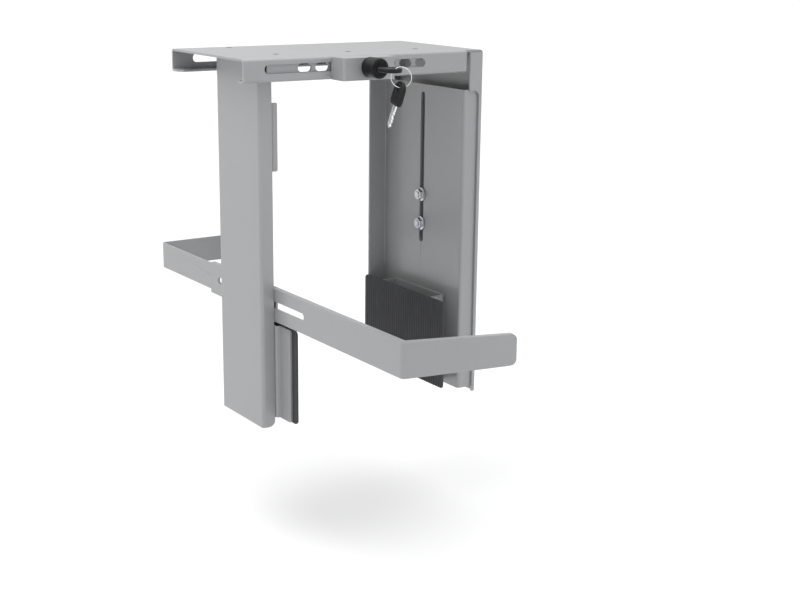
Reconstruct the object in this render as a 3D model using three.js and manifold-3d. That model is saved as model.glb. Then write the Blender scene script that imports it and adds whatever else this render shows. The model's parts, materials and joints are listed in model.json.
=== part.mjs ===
// Under-desk computer holder: a lockable frame with a sliding side bracket, two height
// carriages with rubber-faced clamp plates, two telescoping arms and a keyed lock.
// Millimetres, +Z up. Origin: centre of the top plate's upper face, which meets the desk.
// X runs from the sliding side (-) to the fixed side (+), and -Y is the front.
import * as THREE from 'three';
import { mergeVertices } from 'three/addons/utils/BufferGeometryUtils.js';
import Module from 'manifold-3d';

const wasm = await Module();
wasm.setup();

// ---------------------------------------------------------------- driving dimensions
const SHEET = 2;              // thickness of every folded sheet
const BEND = 2.2;             // bend radius at the middle of the sheet
const GAP = 0.3;              // gap between pieces that touch
const SLIDE = 0.4;            // side clearance of pieces that slide in one another

const PLATE_L = 262;          // desk plate, along X
const FRAME_D = 142;          // desk plate, along Y
const RAIL_H = 21;            // height of the rail's flanges
const LIP = 15;               // width of the lips under the rail
const LIP_CHAMFER = 6;        // their cut corners
const RAIL_SHORT = 21;        // the rail's flanges stop this far from the fixed leg's face
const LIP_SHORT = 11;         // the lips stop this far before the flanges
const LEG_LOW = -345;         // lower end of both legs
const SLOT_H = 8;             // height of the slots in the rail's flanges
const SLOT_Z = -9.5;          // their centre line, and the lock's
const SLOT_TO = 61.5;         // their end on the fixed side
const SLOT_PAST = 2.2;        // how far past the sliding leg they start
const DESK_HOLE = 6;          // screw holes in the desk plate, countersunk from below
const DESK_SINK = 9.5;        // width of the countersink
const DESK_PITCH = 77;        // between the front screw holes
const DESK_ROW_Y = -32;       // row of the front screw holes
const DESK_REAR_Y = 58;       // the single hole near the rear edge

const BAY_LEFT = -87;         // the clamped computer's left side
const BAY_RIGHT = 88;         // and its right side
const CLAMP_STACK = 8;        // from the left carriage's face to the computer
const PAD = 2;                // rubber facing

const FIXED_FLANGE = 16;      // depth of the fixed leg's flanges, at the top
const FIXED_EDGE = 5;         // and lower down, where the carriage shows through
const NOTCH_Z = -39;          // height where they change
const NOTCH_R = 6;            // round of the notch and of the carriage's corner in it
const LEG_CORNER = 6;         // round at the lower corners of the sliding leg's flanges

const LEG_W = 82;             // sliding leg, along Y
const LEG_MID_Y = -FRAME_D / 2 + LIP + SLIDE + LEG_W / 2; // its middle, behind the front lip
const LEG_FLANGE = 13;        // depth of its flanges
const PITCH = 18.1;           // spacing of the locking holes
const HOLES = 8;              // how many there are
const HOLE_L = 14;            // length of a locking hole
const LOCK_X = -14;           // lock axis
const LOCK_HOLE = 3;          // the locking hole that is on the lock axis at rest
const ARM_TAIL = 6;           // sheet left beyond the last locking hole
const REAR_FLANGE_FROM = -40; // where the sliding bracket's rear flange starts

const CARRIAGE_TOP = -40;     // upper edge of the left carriage
const RIGHT_HIGHER = 2;       // the right one stands this much higher
const CARRIAGE_LOW = -340;    // lower edge of both
const CARRIAGE_UP = 15;       // how far a carriage goes up
const CARRIAGE_DOWN = 100;    // and down
const SLOT_LAND = 5.6;        // web left above a carriage's slot
const SLOT_PLAY = 1;          // length that the slot has to spare at each end
const TURN_IN = 2;            // the right carriage's rear flange stops this far from the computer
const EAR_H = 62;             // height of the guide ears
const EAR_DROP = 1;           // below the carriage's edge
const EAR_REACH = 7;          // how far they stand in from the carriage
const EAR_FOOT = 15;          // width of an ear's foot on the carriage
const EAR_R = 1.5;            // its rounded corners

const STUD_R = 3;             // M6 thread
const STUD_COLLAR_R = 5;
const STUD_GAP = 30;          // between the upper and lower guide stud
const NUT_AF = 10;            // M6 nut across flats
const NUT_H = 5;
const NUT_FLANGE_R = 7;
const NUT_FLANGE_T = 1.4;
const NUT_SHOWS = 1;          // thread that stands out of a guide nut
const HEAD_R = 8;             // low screw heads
const HEAD_H = 2.4;
const SOCKET_R = 2.3;         // their hexagon sockets, across corners / 2
const SOCKET_FLOOR = 0.8;

const CLAMP_H = 89;           // clamp plates
const HAT_OVER_LEG = 3;       // the left one's raised middle stands out past the leg, each side
const LEFT_HAT = LEG_W + 2 * HAT_OVER_LEG;
const RIGHT_HAT = 88;         // width of the right one's raised middle
const HAT_BEND = 1.8;         // bend radius of its steps
const WING = 20;              // width of each wing
const WING_R = 3;             // radius of the wing's corners
const PAD_OVER = 7;           // the facing stands out past the wings
const PAD_UP = 1;             // and above them
const CLAMP_SCREW_IN = 25;    // from the upper and lower edge to the clamp screws

const ARM_TOP = -211;         // front arm
const ARM_H = 31;
const ARM_FOLD = 5.2;         // depth of its folded edges
const ARM_FRONT_Y = -264;     // outer corner
const ARM_TAIL_Y = 73;        // rear end of its side
const ARM_OVER_CLAMP = 5;     // between the arm and the clamp plate
const HOOK_L = 98;            // length of the part in front of the computer
const HOOK_FLARE = 17;        // degrees that it stands away from the computer
const HOOK_TAPER = 4.2;       // how much lower its end is
const HOOK_R = 5;             // its rounded corners
const ARM_BEND = 4;           // bend radius between its two parts
const ARM_SLOT_H = 6.6;
const ARM_SLOT = [-109, 57];
const ARM_SCREW_Y = [-35, 5]; // clamping screws of both arms
const REAR_Y = 193;           // outer face of the rear arm's hook
const REAR_FROM = -55;        // front end of its side
const REAR_HOOK = 100;
const REAR_SLOT = [-49, 72];

const BOX_X = [-41.5, 14];    // lock housing
const BOX_OUT = 20;           // how far it stands out from the rail
const BOX_TOP = -0.8;
const BOX_LOW = -21;
const BOX_WALL = 1.5;
const BARREL_R = 9.2;
const BARREL_L = 17.5;
const BARREL_EDGE = 1.2;      // chamfer round its face
const SPIGOT_R = 5.5;         // the barrel's tail, through the housing
const SPIGOT_L = 6.6;
const CLIP_RIM = 1.5;         // spring clip on the spigot
const CLIP_T = 1.2;
const CLIP_MOUTH = 6;
const PLUG_L = 24;
const PLUG_IN = 0.4;          // how far the plug lies inside the barrel's face
const PLUG_WALL = 1;          // metal round the keyway
const PLUG_FLOOR = 4;         // and behind it
const BOLT_DISC_R = 6;
const BOLT_DISC_T = 2.5;
const BOLT_REST = 1.5;        // how far the unlocked bolt stands in the rail's slot

const BLADE_L = 20;           // key blade, out of the bow
const BLADE_W = 6;
const BLADE_T = 1.6;
const BLADE_TEETH = 4;
const BLADE_CUTS = [1.5, 0.8];    // depths of the cuts, which take turns
const KEY_NECK = 5;           // blade that shows between the lock and the bow
const BOW_L = 22;
const BOW_W = 18;
const BOW_T = 4;
const BOW_R = 4;              // corners beside the blade
const BOW_INSET = 9;          // blade buried in the bow
const RING_SLOT = [3.3, 8, 4];    // the first bow's slot: place from its round end's centre, length, width
const RING_HOLE = [-3, 5.6, 5.59];   // the spare bow's round hole, in the same way
const RING_R = 9;             // key ring, to the middle of the wire
const WIRE_R = 0.7;
const RING_TURN = -38;        // degrees that the ring's plane is turned from XZ
const SPARE_TURN = 30;        // degrees that the spare key's plane is off square to the wire
const SPARE_LEAN = 16;        // and its lean
const SPARE_REST = 1.6;       // play between the wire and the hole it hangs in

const FINE = 5;               // segments in a quarter of a small round
const ROUND = 24;             // segments in a full round
const OVER = 1;               // how far a cutting shape runs past the material

// ---------------------------------------------------------------- worked-out positions
const FRONT = -FRAME_D / 2;
const REAR = FRAME_D / 2;
const RIGHT = PLATE_L / 2;
const LEFT = -PLATE_L / 2;
const RAIL_END = RIGHT - RAIL_SHORT;
const WEB_IN = RIGHT - SHEET;
const SLIDER_TOP = -SHEET - SLIDE;
const SLIDER_Y = REAR - SHEET - SLIDE;
const SLIDER_LOW = -RAIL_H + SHEET + SLIDE;
const CARRIAGE_X = BAY_LEFT - CLAMP_STACK;               // computer side of the left carriage
const LEG_X = CARRIAGE_X - LEG_FLANGE;                   // outer face of the sliding leg
const LEG_Y = [LEG_MID_Y - LEG_W / 2, LEG_MID_Y + LEG_W / 2];
const HOLE_H = SLOT_H - SLIDE;
const FIRST_HOLE = LOCK_X - LOCK_HOLE * PITCH;
const BRACKET_END = FIRST_HOLE + (HOLES - 1) * PITCH + HOLE_L / 2 + ARM_TAIL;
const CARRIAGE_Y = [LEG_Y[0] + SHEET + SLIDE, LEG_Y[1] - SHEET - SLIDE];
const CLAMP_X = CARRIAGE_X + GAP;                        // left clamp plate and front arm start
const REAR_ARM_X = CLAMP_X + SHEET + GAP;
const REAR_H = ARM_H - 2 * SHEET - 2 * GAP;              // the rear arm lies inside the front arm's folds
const ARM_MID_Z = ARM_TOP - ARM_H / 2;
const CLAMP_TOP = ARM_TOP - ARM_H - ARM_OVER_CLAMP;
const CLAMP_LOW = CLAMP_TOP - CLAMP_H;
const CLAMP_SCREW_Z = [CLAMP_TOP - CLAMP_SCREW_IN, CLAMP_LOW + CLAMP_SCREW_IN];
const STUD_TOP_Z = CARRIAGE_TOP - SLOT_LAND - CARRIAGE_DOWN - STUD_R - SLIDE - SLOT_PLAY;
const STUD_Z = [STUD_TOP_Z, STUD_TOP_Z - STUD_GAP];
const RIGHT_CARRIAGE_X = RAIL_END;                       // computer side of the right carriage
const FIXED_Y = REAR - SHEET - SLIDE;
const BOX_FRONT = FRONT - BOX_OUT;
const BARREL_END = BOX_FRONT - GAP - BARREL_L;
const PLUG_FRONT = BARREL_END + PLUG_IN;
const PLUG_R = BLADE_W / 2 + PLUG_WALL;
const BOLT_R = HOLE_H / 2 - GAP;
const BOW_BACK = BARREL_END - KEY_NECK;
const BOW_END_Y = BOW_BACK - BOW_L + BOW_W / 2;          // centre of the bow's round end

// ---------------------------------------------------------------- solids
function toSolid(geometry) {
  const bare = geometry.clone();
  bare.deleteAttribute('normal');
  bare.deleteAttribute('uv');
  const merged = mergeVertices(bare, 1e-4);
  const index = merged.index.array;
  const triangles = [];
  for (let i = 0; i < index.length; i += 3) {
    const [a, b, c] = [index[i], index[i + 1], index[i + 2]];
    if (a !== b && b !== c && c !== a) triangles.push(a, b, c);
  }
  return new wasm.Manifold(new wasm.Mesh({
    numProp: 3,
    vertProperties: new Float32Array(merged.attributes.position.array),
    triVerts: new Uint32Array(triangles),
  }));
}

function toGeometry(manifold) {
  const mesh = manifold.getMesh();
  const geometry = new THREE.BufferGeometry();
  geometry.setAttribute('position', new THREE.BufferAttribute(new Float32Array(mesh.vertProperties), 3));
  geometry.setIndex(new THREE.BufferAttribute(new Uint32Array(mesh.triVerts), 1));
  geometry.computeVertexNormals();
  return geometry;
}

// A shape pushed along one axis, from one place to another. Its own two directions are
// (Y, Z) for 'x', (X, Z) for 'y' and (X, Y) for 'z'.
function push(axis, shape, from, to) {
  const geometry = new THREE.ExtrudeGeometry(shape, {
    depth: to - from, bevelEnabled: false, curveSegments: FINE,
  });
  const [ex, ey, ez] = [new THREE.Vector3(1, 0, 0), new THREE.Vector3(0, 1, 0), new THREE.Vector3(0, 0, 1)];
  const frame = new THREE.Matrix4();
  if (axis === 'x') frame.makeBasis(ey, ez, ex).setPosition(from, 0, 0);
  if (axis === 'y') frame.makeBasis(ex, ez, ey.clone().negate()).setPosition(0, to, 0);
  if (axis === 'z') frame.setPosition(0, 0, from);
  return toSolid(geometry.applyMatrix4(frame));
}

function box([x0, x1], [y0, y1], [z0, z1]) {
  const geometry = new THREE.BoxGeometry(x1 - x0, y1 - y0, z1 - z0);
  return toSolid(geometry.translate((x0 + x1) / 2, (y0 + y1) / 2, (z0 + z1) / 2));
}

// A round or, with fewer sides, a regular prism along an axis; centre gives the other two.
function rod(axis, [u, v], radius, from, to, sides = ROUND) {
  const geometry = new THREE.CylinderGeometry(radius, radius, to - from, sides);
  const middle = (from + to) / 2;
  if (axis === 'x') geometry.rotateZ(-Math.PI / 2).translate(middle, u, v);
  if (axis === 'y') geometry.translate(u, middle, v);
  if (axis === 'z') geometry.rotateX(Math.PI / 2).translate(u, v, middle);
  return toSolid(geometry);
}

// Rectangle with a radius at each corner, counter-clockwise from the low corner, or one for all.
function rounded(u0, u1, v0, v1, radii) {
  const [a, b, c, d] = Array.isArray(radii) ? radii : [radii, radii, radii, radii];
  const shape = new THREE.Shape();
  shape.moveTo(u0 + a, v0);
  shape.lineTo(u1 - b, v0);
  if (b) shape.absarc(u1 - b, v0 + b, b, -Math.PI / 2, 0, false);
  shape.lineTo(u1, v1 - c);
  if (c) shape.absarc(u1 - c, v1 - c, c, 0, Math.PI / 2, false);
  shape.lineTo(u0 + d, v1);
  if (d) shape.absarc(u0 + d, v1 - d, d, Math.PI / 2, Math.PI, false);
  shape.lineTo(u0, v0 + a);
  if (a) shape.absarc(u0 + a, v0 + a, a, Math.PI, 1.5 * Math.PI, false);
  return shape;
}

// A slot with round ends along u. Its straight ends are never quite nothing.
function slot(u0, u1, v, height) {
  const r = height / 2;
  return rounded(u0, u1, v - r, v + r, r - 1e-3);
}

// The section of a folded sheet: its middle line, with every corner bent, given thickness.
function folded(corners, thickness = SHEET, bend = BEND) {
  const points = corners.map(([u, v]) => new THREE.Vector2(u, v));
  const line = [];
  points.forEach((point, i) => {
    if (i === 0 || i === points.length - 1) {
      const other = i === 0 ? points[1] : points[i - 1];
      const along = (i === 0 ? other.clone().sub(point) : point.clone().sub(other)).normalize();
      line.push([point, along]);
      return;
    }
    const before = point.clone().sub(points[i - 1]).normalize();
    const after = points[i + 1].clone().sub(point).normalize();
    const turn = Math.atan2(before.cross(after), before.dot(after));
    const reach = bend * Math.tan(Math.abs(turn) / 2);
    const start = point.clone().addScaledVector(before, -reach);
    const side = new THREE.Vector2(-before.y, before.x).multiplyScalar(Math.sign(turn));
    const centre = start.clone().addScaledVector(side, bend);
    for (let k = 0; k <= FINE; k += 1) {
      const angle = (turn * k) / FINE;
      line.push([
        start.clone().rotateAround(centre, angle),
        before.clone().rotateAround(new THREE.Vector2(), angle),
      ]);
    }
  });
  const edge = (amount) => line.map(([p, along]) => (
    new THREE.Vector2(p.x - along.y * amount, p.y + along.x * amount)));
  return new THREE.Shape([...edge(-thickness / 2), ...edge(thickness / 2).reverse()]);
}

const union = (first, ...rest) => rest.reduce((sum, piece) => sum.add(piece), first);
const cut = (first, ...rest) => rest.reduce((left, piece) => left.subtract(piece), first);

// ---------------------------------------------------------------- materials
const finish = (color, roughness, metalness) => (
  new THREE.MeshStandardMaterial({ color, roughness, metalness }));
const coat = finish(0xb4b6ba, 0.55, 0.1);
const zinc = finish(0xb9bcc0, 0.35, 0.9);
const steel = finish(0xc9ccd0, 0.22, 1);
const black = finish(0x17171a, 0.42, 0.3);
const plastic = finish(0x141416, 0.5, 0);
const rubber = finish(0x2b2c2e, 0.85, 0);

const holder = new THREE.Group();

function piece(name, manifold, material, parent = holder) {
  const mesh = new THREE.Mesh(toGeometry(manifold), material);
  mesh.name = name;
  parent.add(mesh);
  return mesh;
}

// Cone that widens downwards through the desk plate.
function countersink([x, y]) {
  const height = SHEET + OVER;
  const grows = ((DESK_SINK - DESK_HOLE) / 2) * (height / SHEET);
  const geometry = new THREE.CylinderGeometry(DESK_HOLE / 2, DESK_HOLE / 2 + grows, height, ROUND);
  return toSolid(geometry.rotateX(Math.PI / 2).translate(x, y, -height / 2));
}

// What a rounded corner leaves over: a square at (u, v) less its inscribed quarter round.
// du and dv, each 1 or -1, say which way the material lies from the corner.
function cornerWaste(u, v, du, dv, radius) {
  const [cu, cv] = [u + du * radius, v + dv * radius];
  const shape = new THREE.Shape();
  shape.moveTo(cu, v - dv * OVER);
  shape.lineTo(u - du * OVER, v - dv * OVER);
  shape.lineTo(u - du * OVER, cv);
  shape.lineTo(u, cv);
  const start = du > 0 ? Math.PI : 0;
  const end = dv > 0 ? -Math.PI / 2 : Math.PI / 2;
  shape.absarc(cu, cv, radius, start, end, (du > 0) !== (dv > 0));
  shape.closePath();
  return shape;
}

// ---------------------------------------------------------------- desk frame
// Tools that shorten the lips under the rail and cut their corners.
function lipCuts() {
  const lipEnd = RAIL_END - LIP_SHORT;
  const under = [-RAIL_H - OVER, -RAIL_H + SHEET + 0.01];
  const between = [FRONT + SHEET + BEND, REAR - SHEET - BEND];
  const tools = [box([lipEnd, RAIL_END + OVER], between, under)];
  [[LEFT, 1], [lipEnd, -1]].forEach(([end, into]) => {
    [-1, 1].forEach((side) => {
      const edge = REAR - LIP;
      const corner = new THREE.Shape([
        new THREE.Vector2(end - into * OVER, side * (edge - OVER)),
        new THREE.Vector2(end + into * LIP_CHAMFER, side * (edge - OVER)),
        new THREE.Vector2(end - into * OVER, side * (edge + LIP_CHAMFER)),
      ]);
      tools.push(push('z', corner, ...under));
    });
  });
  return tools;
}

// One folded sheet: the plate under the desk, its lipped rail and the fixed leg.
function deskFrame() {
  const top = -SHEET / 2;
  const lipZ = -RAIL_H + SHEET / 2;
  const side = REAR - SHEET / 2;
  const web = RIGHT - SHEET / 2;
  const edge = RIGHT - FIXED_FLANGE;
  const rail = push('x', folded([
    [-REAR + LIP, lipZ], [-side, lipZ], [-side, top], [side, top], [side, lipZ], [REAR - LIP, lipZ],
  ]), LEFT, RAIL_END);
  const bendOver = push('y', folded([[RAIL_END - BEND, top], [web, top], [web, -RAIL_H]]),
    FRONT + BEND, REAR - BEND);
  const leg = push('z', folded([[edge, -side], [web, -side], [web, side], [edge, side]]), LEG_LOW, -BEND);
  let frame = cut(union(rail, bendOver, leg), ...lipCuts());

  const slotFrom = LEG_X - SLOT_PAST;
  frame = cut(frame, push('y', slot(slotFrom, SLOT_TO, SLOT_Z, SLOT_H), FRONT - OVER, REAR + OVER));
  // the notch that leaves only a narrow edge beside the carriage
  const notch = rounded(edge - OVER, RIGHT - FIXED_EDGE, LEG_LOW - OVER, NOTCH_Z, [0, 0, NOTCH_R, 0]);
  frame = cut(frame,
    push('y', notch, FRONT - OVER, FRONT + SHEET + BEND),
    push('y', notch, REAR - SHEET - BEND, REAR + OVER));
  const holes = [-DESK_PITCH, 0, DESK_PITCH].map((x) => [x, DESK_ROW_Y]);
  holes.push([-DESK_PITCH, DESK_REAR_Y]);
  holes.forEach((at) => {
    frame = cut(frame, rod('z', at, DESK_HOLE / 2, -SHEET - OVER, OVER), countersink(at));
  });
  return frame;
}

// ---------------------------------------------------------------- sliding bracket
// One folded sheet: an arm that slides in the rail, with locking holes, and the leg.
function slidingBracket() {
  const top = SLIDER_TOP - SHEET / 2;
  const side = SLIDER_Y - SHEET / 2;
  const web = LEG_X + SHEET / 2;
  const edge = LEG_X + LEG_FLANGE;
  const [front, rear] = [LEG_Y[0] + SHEET / 2, LEG_Y[1] - SHEET / 2];
  const arm = push('x', folded([
    [-side, SLIDER_LOW], [-side, top], [side, top], [side, SLIDER_LOW],
  ]), LEG_X + BEND, BRACKET_END);
  const bendOver = push('y', folded([[LEG_X + 3 * BEND, top], [web, top], [web, -RAIL_H]]),
    LEG_Y[0] + BEND, LEG_Y[1] - BEND);
  const leg = push('z', folded([[edge, front], [web, front], [web, rear], [edge, rear]]),
    LEG_LOW, SLIDER_TOP - SHEET);
  const rearFlange = box([LEG_X - OVER, REAR_FLANGE_FROM],
    [SLIDER_Y - SHEET - BEND, SLIDER_Y + OVER], [SLIDER_LOW - OVER, 0]);
  let bracket = cut(union(arm, bendOver), rearFlange).add(leg);
  const corner = cornerWaste(edge, LEG_LOW, -1, 1, LEG_CORNER);
  bracket = cut(bracket, push('y', corner, LEG_Y[0] - OVER, LEG_Y[1] + OVER));
  for (let i = 0; i < HOLES; i += 1) {
    const x = FIRST_HOLE + i * PITCH;
    const hole = slot(x - HOLE_L / 2, x + HOLE_L / 2, SLOT_Z, HOLE_H);
    bracket = cut(bracket, push('y', hole, -SLIDER_Y - OVER, -SLIDER_Y + SHEET + OVER));
  }
  return bracket;
}

// ---------------------------------------------------------------- fasteners
// All fasteners lie along X; `towards` is +1 or -1, the way their free end points.
function along(x, towards, start, end) {
  return towards > 0 ? [x + start, x + end] : [x - end, x - start];
}

// A collar on a leg's web and the thread that goes on through the carriage's slot.
function guideStud(x, towards, collar, length, y, z) {
  return union(
    rod('x', [y, z], STUD_COLLAR_R, ...along(x, towards, 0, collar)),
    rod('x', [y, z], STUD_R, ...along(x, towards, collar - OVER, length)),
  );
}

function flangeNut(x, towards, y, z) {
  const acrossCorners = NUT_AF / Math.sqrt(3);
  return cut(
    union(
      rod('x', [y, z], NUT_FLANGE_R, ...along(x, towards, 0, NUT_FLANGE_T)),
      rod('x', [y, z], acrossCorners, ...along(x, towards, NUT_FLANGE_T / 2, NUT_H), 6),
    ),
    rod('x', [y, z], STUD_R + GAP, ...along(x, towards, -OVER, NUT_H + OVER)),
  );
}

// A low, wide head with a hexagon socket, and its shank.
function lowScrew(x, towards, length, y, z) {
  return cut(
    union(
      rod('x', [y, z], HEAD_R, ...along(x, towards, -HEAD_H, 0)),
      rod('x', [y, z], STUD_R, ...along(x, towards, -HEAD_H / 2, length)),
    ),
    rod('x', [y, z], SOCKET_R, ...along(x, towards, -HEAD_H - OVER, -SOCKET_FLOOR), 6),
  );
}

// A clearance hole for an M6 shank.
const shankHole = (y, z, from, to) => rod('x', [y, z], STUD_R + SLIDE, from, to);

// ---------------------------------------------------------------- carriages
// Vertical slot that lets a carriage move over the guide studs.
function carriageSlot(y, from, to) {
  const half = STUD_R + SLIDE;
  const spare = half + SLOT_PLAY;
  const outline = rounded(y - half, y + half, STUD_Z[1] - CARRIAGE_UP - spare,
    STUD_Z[0] + CARRIAGE_DOWN + spare, half - 1e-3);
  return push('x', outline, from, to);
}

function leftCarriage() {
  const web = CARRIAGE_X - SHEET / 2;
  const edge = LEG_X + SHEET + SLIDE;
  const [front, rear] = [CARRIAGE_Y[0] + SHEET / 2, CARRIAGE_Y[1] - SHEET / 2];
  const channel = push('z', folded([[edge, front], [web, front], [web, rear], [edge, rear]]),
    CARRIAGE_LOW, CARRIAGE_TOP);
  const through = [CARRIAGE_X - SHEET - OVER, CARRIAGE_X + OVER];
  return cut(channel, carriageSlot(LEG_MID_Y, ...through),
    ...ARM_SCREW_Y.map((y) => shankHole(y, ARM_MID_Z, ...through)),
    ...CLAMP_SCREW_Z.map((z) => shankHole(LEG_MID_Y, z, ...through)));
}

// An angle on the carriage's face that steadies the upper part of the computer.
function ear(edge, inward) {
  const foot = CLAMP_X + SHEET / 2;
  const reach = CARRIAGE_X + EAR_REACH;
  const high = CARRIAGE_TOP - EAR_DROP;
  const low = high - EAR_H;
  const line = [[reach, edge], [foot, edge], [foot, edge + inward * EAR_FOOT]];
  const angle = push('z', folded(line), low, high);
  const corners = [[low, 1], [high, -1]].map(([z, up]) => (
    push('y', cornerWaste(reach, z, -1, up, EAR_R), edge - SHEET, edge + SHEET)));
  return cut(angle, ...corners);
}

// A Z section: the front flange turns out to the fixed leg, the rear one in to the computer.
function rightCarriage() {
  const web = RIGHT_CARRIAGE_X + SHEET / 2;
  const side = FIXED_Y - SHEET / 2;
  const outwards = RIGHT - FIXED_EDGE + OVER;
  const inwards = BAY_RIGHT + TURN_IN;
  const high = CARRIAGE_TOP + RIGHT_HIGHER;
  const channel = push('z', folded([[outwards, -side], [web, -side], [web, side], [inwards, side]]),
    CARRIAGE_LOW, high);
  const through = [RIGHT_CARRIAGE_X - OVER, RIGHT_CARRIAGE_X + SHEET + OVER];
  const corner = push('y', cornerWaste(outwards, high, -1, -1, NOTCH_R),
    -FIXED_Y - OVER, -FIXED_Y + SHEET + OVER);
  return cut(channel, carriageSlot(0, ...through), corner,
    ...CLAMP_SCREW_Z.map((z) => shankHole(0, z, ...through)));
}

// ---------------------------------------------------------------- clamp plates
// A hat section: a raised middle on the carriage and two wings that carry the facing.
function clampPlate(hatX, wingX, y, width) {
  const hat = width / 2 - SHEET / 2;
  const wing = width / 2 + WING;
  const section = folded([
    [wingX, y - wing], [wingX, y - hat], [hatX, y - hat],
    [hatX, y + hat], [wingX, y + hat], [wingX, y + wing],
  ], SHEET, HAT_BEND);
  const outline = rounded(y - wing, y + wing, CLAMP_LOW, CLAMP_TOP, WING_R);
  const slab = push('x', outline, Math.min(hatX, wingX) - SHEET, Math.max(hatX, wingX) + SHEET);
  return cut(push('z', section, CLAMP_LOW, CLAMP_TOP).intersect(slab),
    ...CLAMP_SCREW_Z.map((z) => shankHole(y, z, hatX - SHEET, hatX + SHEET)));
}

function facing(x, y, width) {
  const half = width / 2 + WING + PAD_OVER;
  return push('x', rounded(y - half, y + half, CLAMP_LOW, CLAMP_TOP + PAD_UP, WING_R), x, x + PAD);
}

// ---------------------------------------------------------------- arms
// A strip that follows a line in the XY plane, between two heights.
function strip(corners, thickness, low, high) {
  return push('z', folded(corners, thickness, ARM_BEND), low, high);
}

// A block that lies along the front arm's hook: from its corner along u, across v and up w.
function alongHook([u0, u1], [v0, v1], [w0, w1], slope) {
  const geometry = new THREE.BoxGeometry(u1 - u0, v1 - v0, w1 - w0);
  geometry.translate((u0 + u1) / 2, (v0 + v1) / 2, (w0 + w1) / 2);
  geometry.rotateY(-slope).rotateZ(-THREE.MathUtils.degToRad(HOOK_FLARE));
  return toSolid(geometry.translate(CLAMP_X + SHEET / 2, ARM_FRONT_Y, ARM_TOP - ARM_H));
}

function frontArm() {
  const x = CLAMP_X + SHEET / 2;
  const flare = THREE.MathUtils.degToRad(HOOK_FLARE);
  const [across, out] = [Math.cos(flare), Math.sin(flare)];
  const end = [x + HOOK_L * across, ARM_FRONT_Y - HOOK_L * out];
  const low = ARM_TOP - ARM_H;
  const web = strip([[x, ARM_TAIL_Y], [x, ARM_FRONT_Y], end], SHEET, low, ARM_TOP);
  // the folded edges stand on the computer's side of the strip
  const inset = (ARM_FOLD - SHEET) / 2;
  const foldEnd = [end[0] + inset * out, end[1] + inset * across];
  const foldLine = [[x + inset, ARM_TAIL_Y], [x + inset, ARM_FRONT_Y + inset], foldEnd];
  const edges = [[low, low + SHEET], [ARM_TOP - SHEET, ARM_TOP]].map(([z0, z1]) => (
    strip(foldLine, ARM_FOLD, z0, z1)));

  // the hook's lower edge rises to its end, and its fold with it
  const slope = Math.atan2(HOOK_TAPER, HOOK_L);
  const below = alongHook([0, 2 * HOOK_L], [-ARM_FOLD - OVER, ARM_FOLD + OVER], [-ARM_H, 0], slope);
  const risen = alongHook([0, HOOK_L], [inset - ARM_FOLD / 2, inset + ARM_FOLD / 2], [0, SHEET], slope)
    .intersect(strip(foldLine, ARM_FOLD, low, ARM_TOP));
  const place = new THREE.Matrix4().makeRotationZ(-flare).setPosition(x, ARM_FRONT_Y, low);
  const corners = [[HOOK_TAPER, 1], [ARM_H, -1]].map(([z, up]) => (
    push('y', cornerWaste(HOOK_L, z, -1, up, HOOK_R), -2 * ARM_FOLD, 2 * ARM_FOLD)
      .transform(place.elements)));
  const guide = push('x', slot(...ARM_SLOT, ARM_MID_Z, ARM_SLOT_H), x - SHEET, x + SHEET);
  return cut(cut(union(web, ...edges), below).add(cut(risen, below)), ...corners, guide);
}

function rearArm() {
  const x = REAR_ARM_X + SHEET / 2;
  const [low, high] = [ARM_MID_Z - REAR_H / 2, ARM_MID_Z + REAR_H / 2];
  const hookY = REAR_Y - SHEET / 2;
  const arm = strip([[x, REAR_FROM], [x, hookY], [x + REAR_HOOK, hookY]], SHEET, low, high);
  const corners = [[low, 1], [high, -1]].map(([z, up]) => (
    push('y', cornerWaste(x + REAR_HOOK, z, -1, up, HOOK_R), REAR_Y - 2 * SHEET, REAR_Y + SHEET)));
  const guide = push('x', slot(...REAR_SLOT, ARM_MID_Z, ARM_SLOT_H), x - SHEET, x + SHEET);
  return cut(arm, ...corners, guide);
}

// ---------------------------------------------------------------- lock
// Every piece of the lock lies on its axis, along Y at (LOCK_X, SLOT_Z).
const onLock = (radius, from, to, sides) => rod('y', [LOCK_X, SLOT_Z], radius, from, to, sides);

function lockHousing() {
  const back = FRONT - GAP;
  const shell = push('z', rounded(...BOX_X, BOX_FRONT, back, [BEND, BEND, 0, 0]), BOX_LOW, BOX_TOP);
  const inside = box([BOX_X[0] + BOX_WALL, BOX_X[1] - BOX_WALL], [BOX_FRONT + BOX_WALL, back + OVER],
    [BOX_LOW + BOX_WALL, BOX_TOP - BOX_WALL]);
  return cut(shell, inside, onLock(SPIGOT_R + GAP, BOX_FRONT - OVER, BOX_FRONT + BOX_WALL + OVER));
}

function lockBarrel() {
  const end = BARREL_L + SPIGOT_L;
  const profile = [
    [0, 0], [BARREL_R - BARREL_EDGE, 0], [BARREL_R, BARREL_EDGE], [BARREL_R, BARREL_L],
    [SPIGOT_R, BARREL_L], [SPIGOT_R, end], [0, end],
  ].map(([r, y]) => new THREE.Vector2(r, y));
  const body = new THREE.LatheGeometry(profile, ROUND + 8);
  body.translate(LOCK_X, BARREL_END, SLOT_Z);
  return cut(toSolid(body), onLock(PLUG_R + GAP, BARREL_END - OVER, BARREL_END + end + OVER));
}

function lockClip() {
  const from = BOX_FRONT + BOX_WALL + GAP;
  const span = [from - OVER, from + CLIP_T + OVER];
  const half = CLIP_MOUTH / 2;
  return cut(onLock(SPIGOT_R + CLIP_RIM, from, from + CLIP_T),
    onLock(SPIGOT_R + GAP, ...span),
    box([LOCK_X - half, LOCK_X + half], span, [SLOT_Z - 2 * SPIGOT_R, SLOT_Z]));
}

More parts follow.
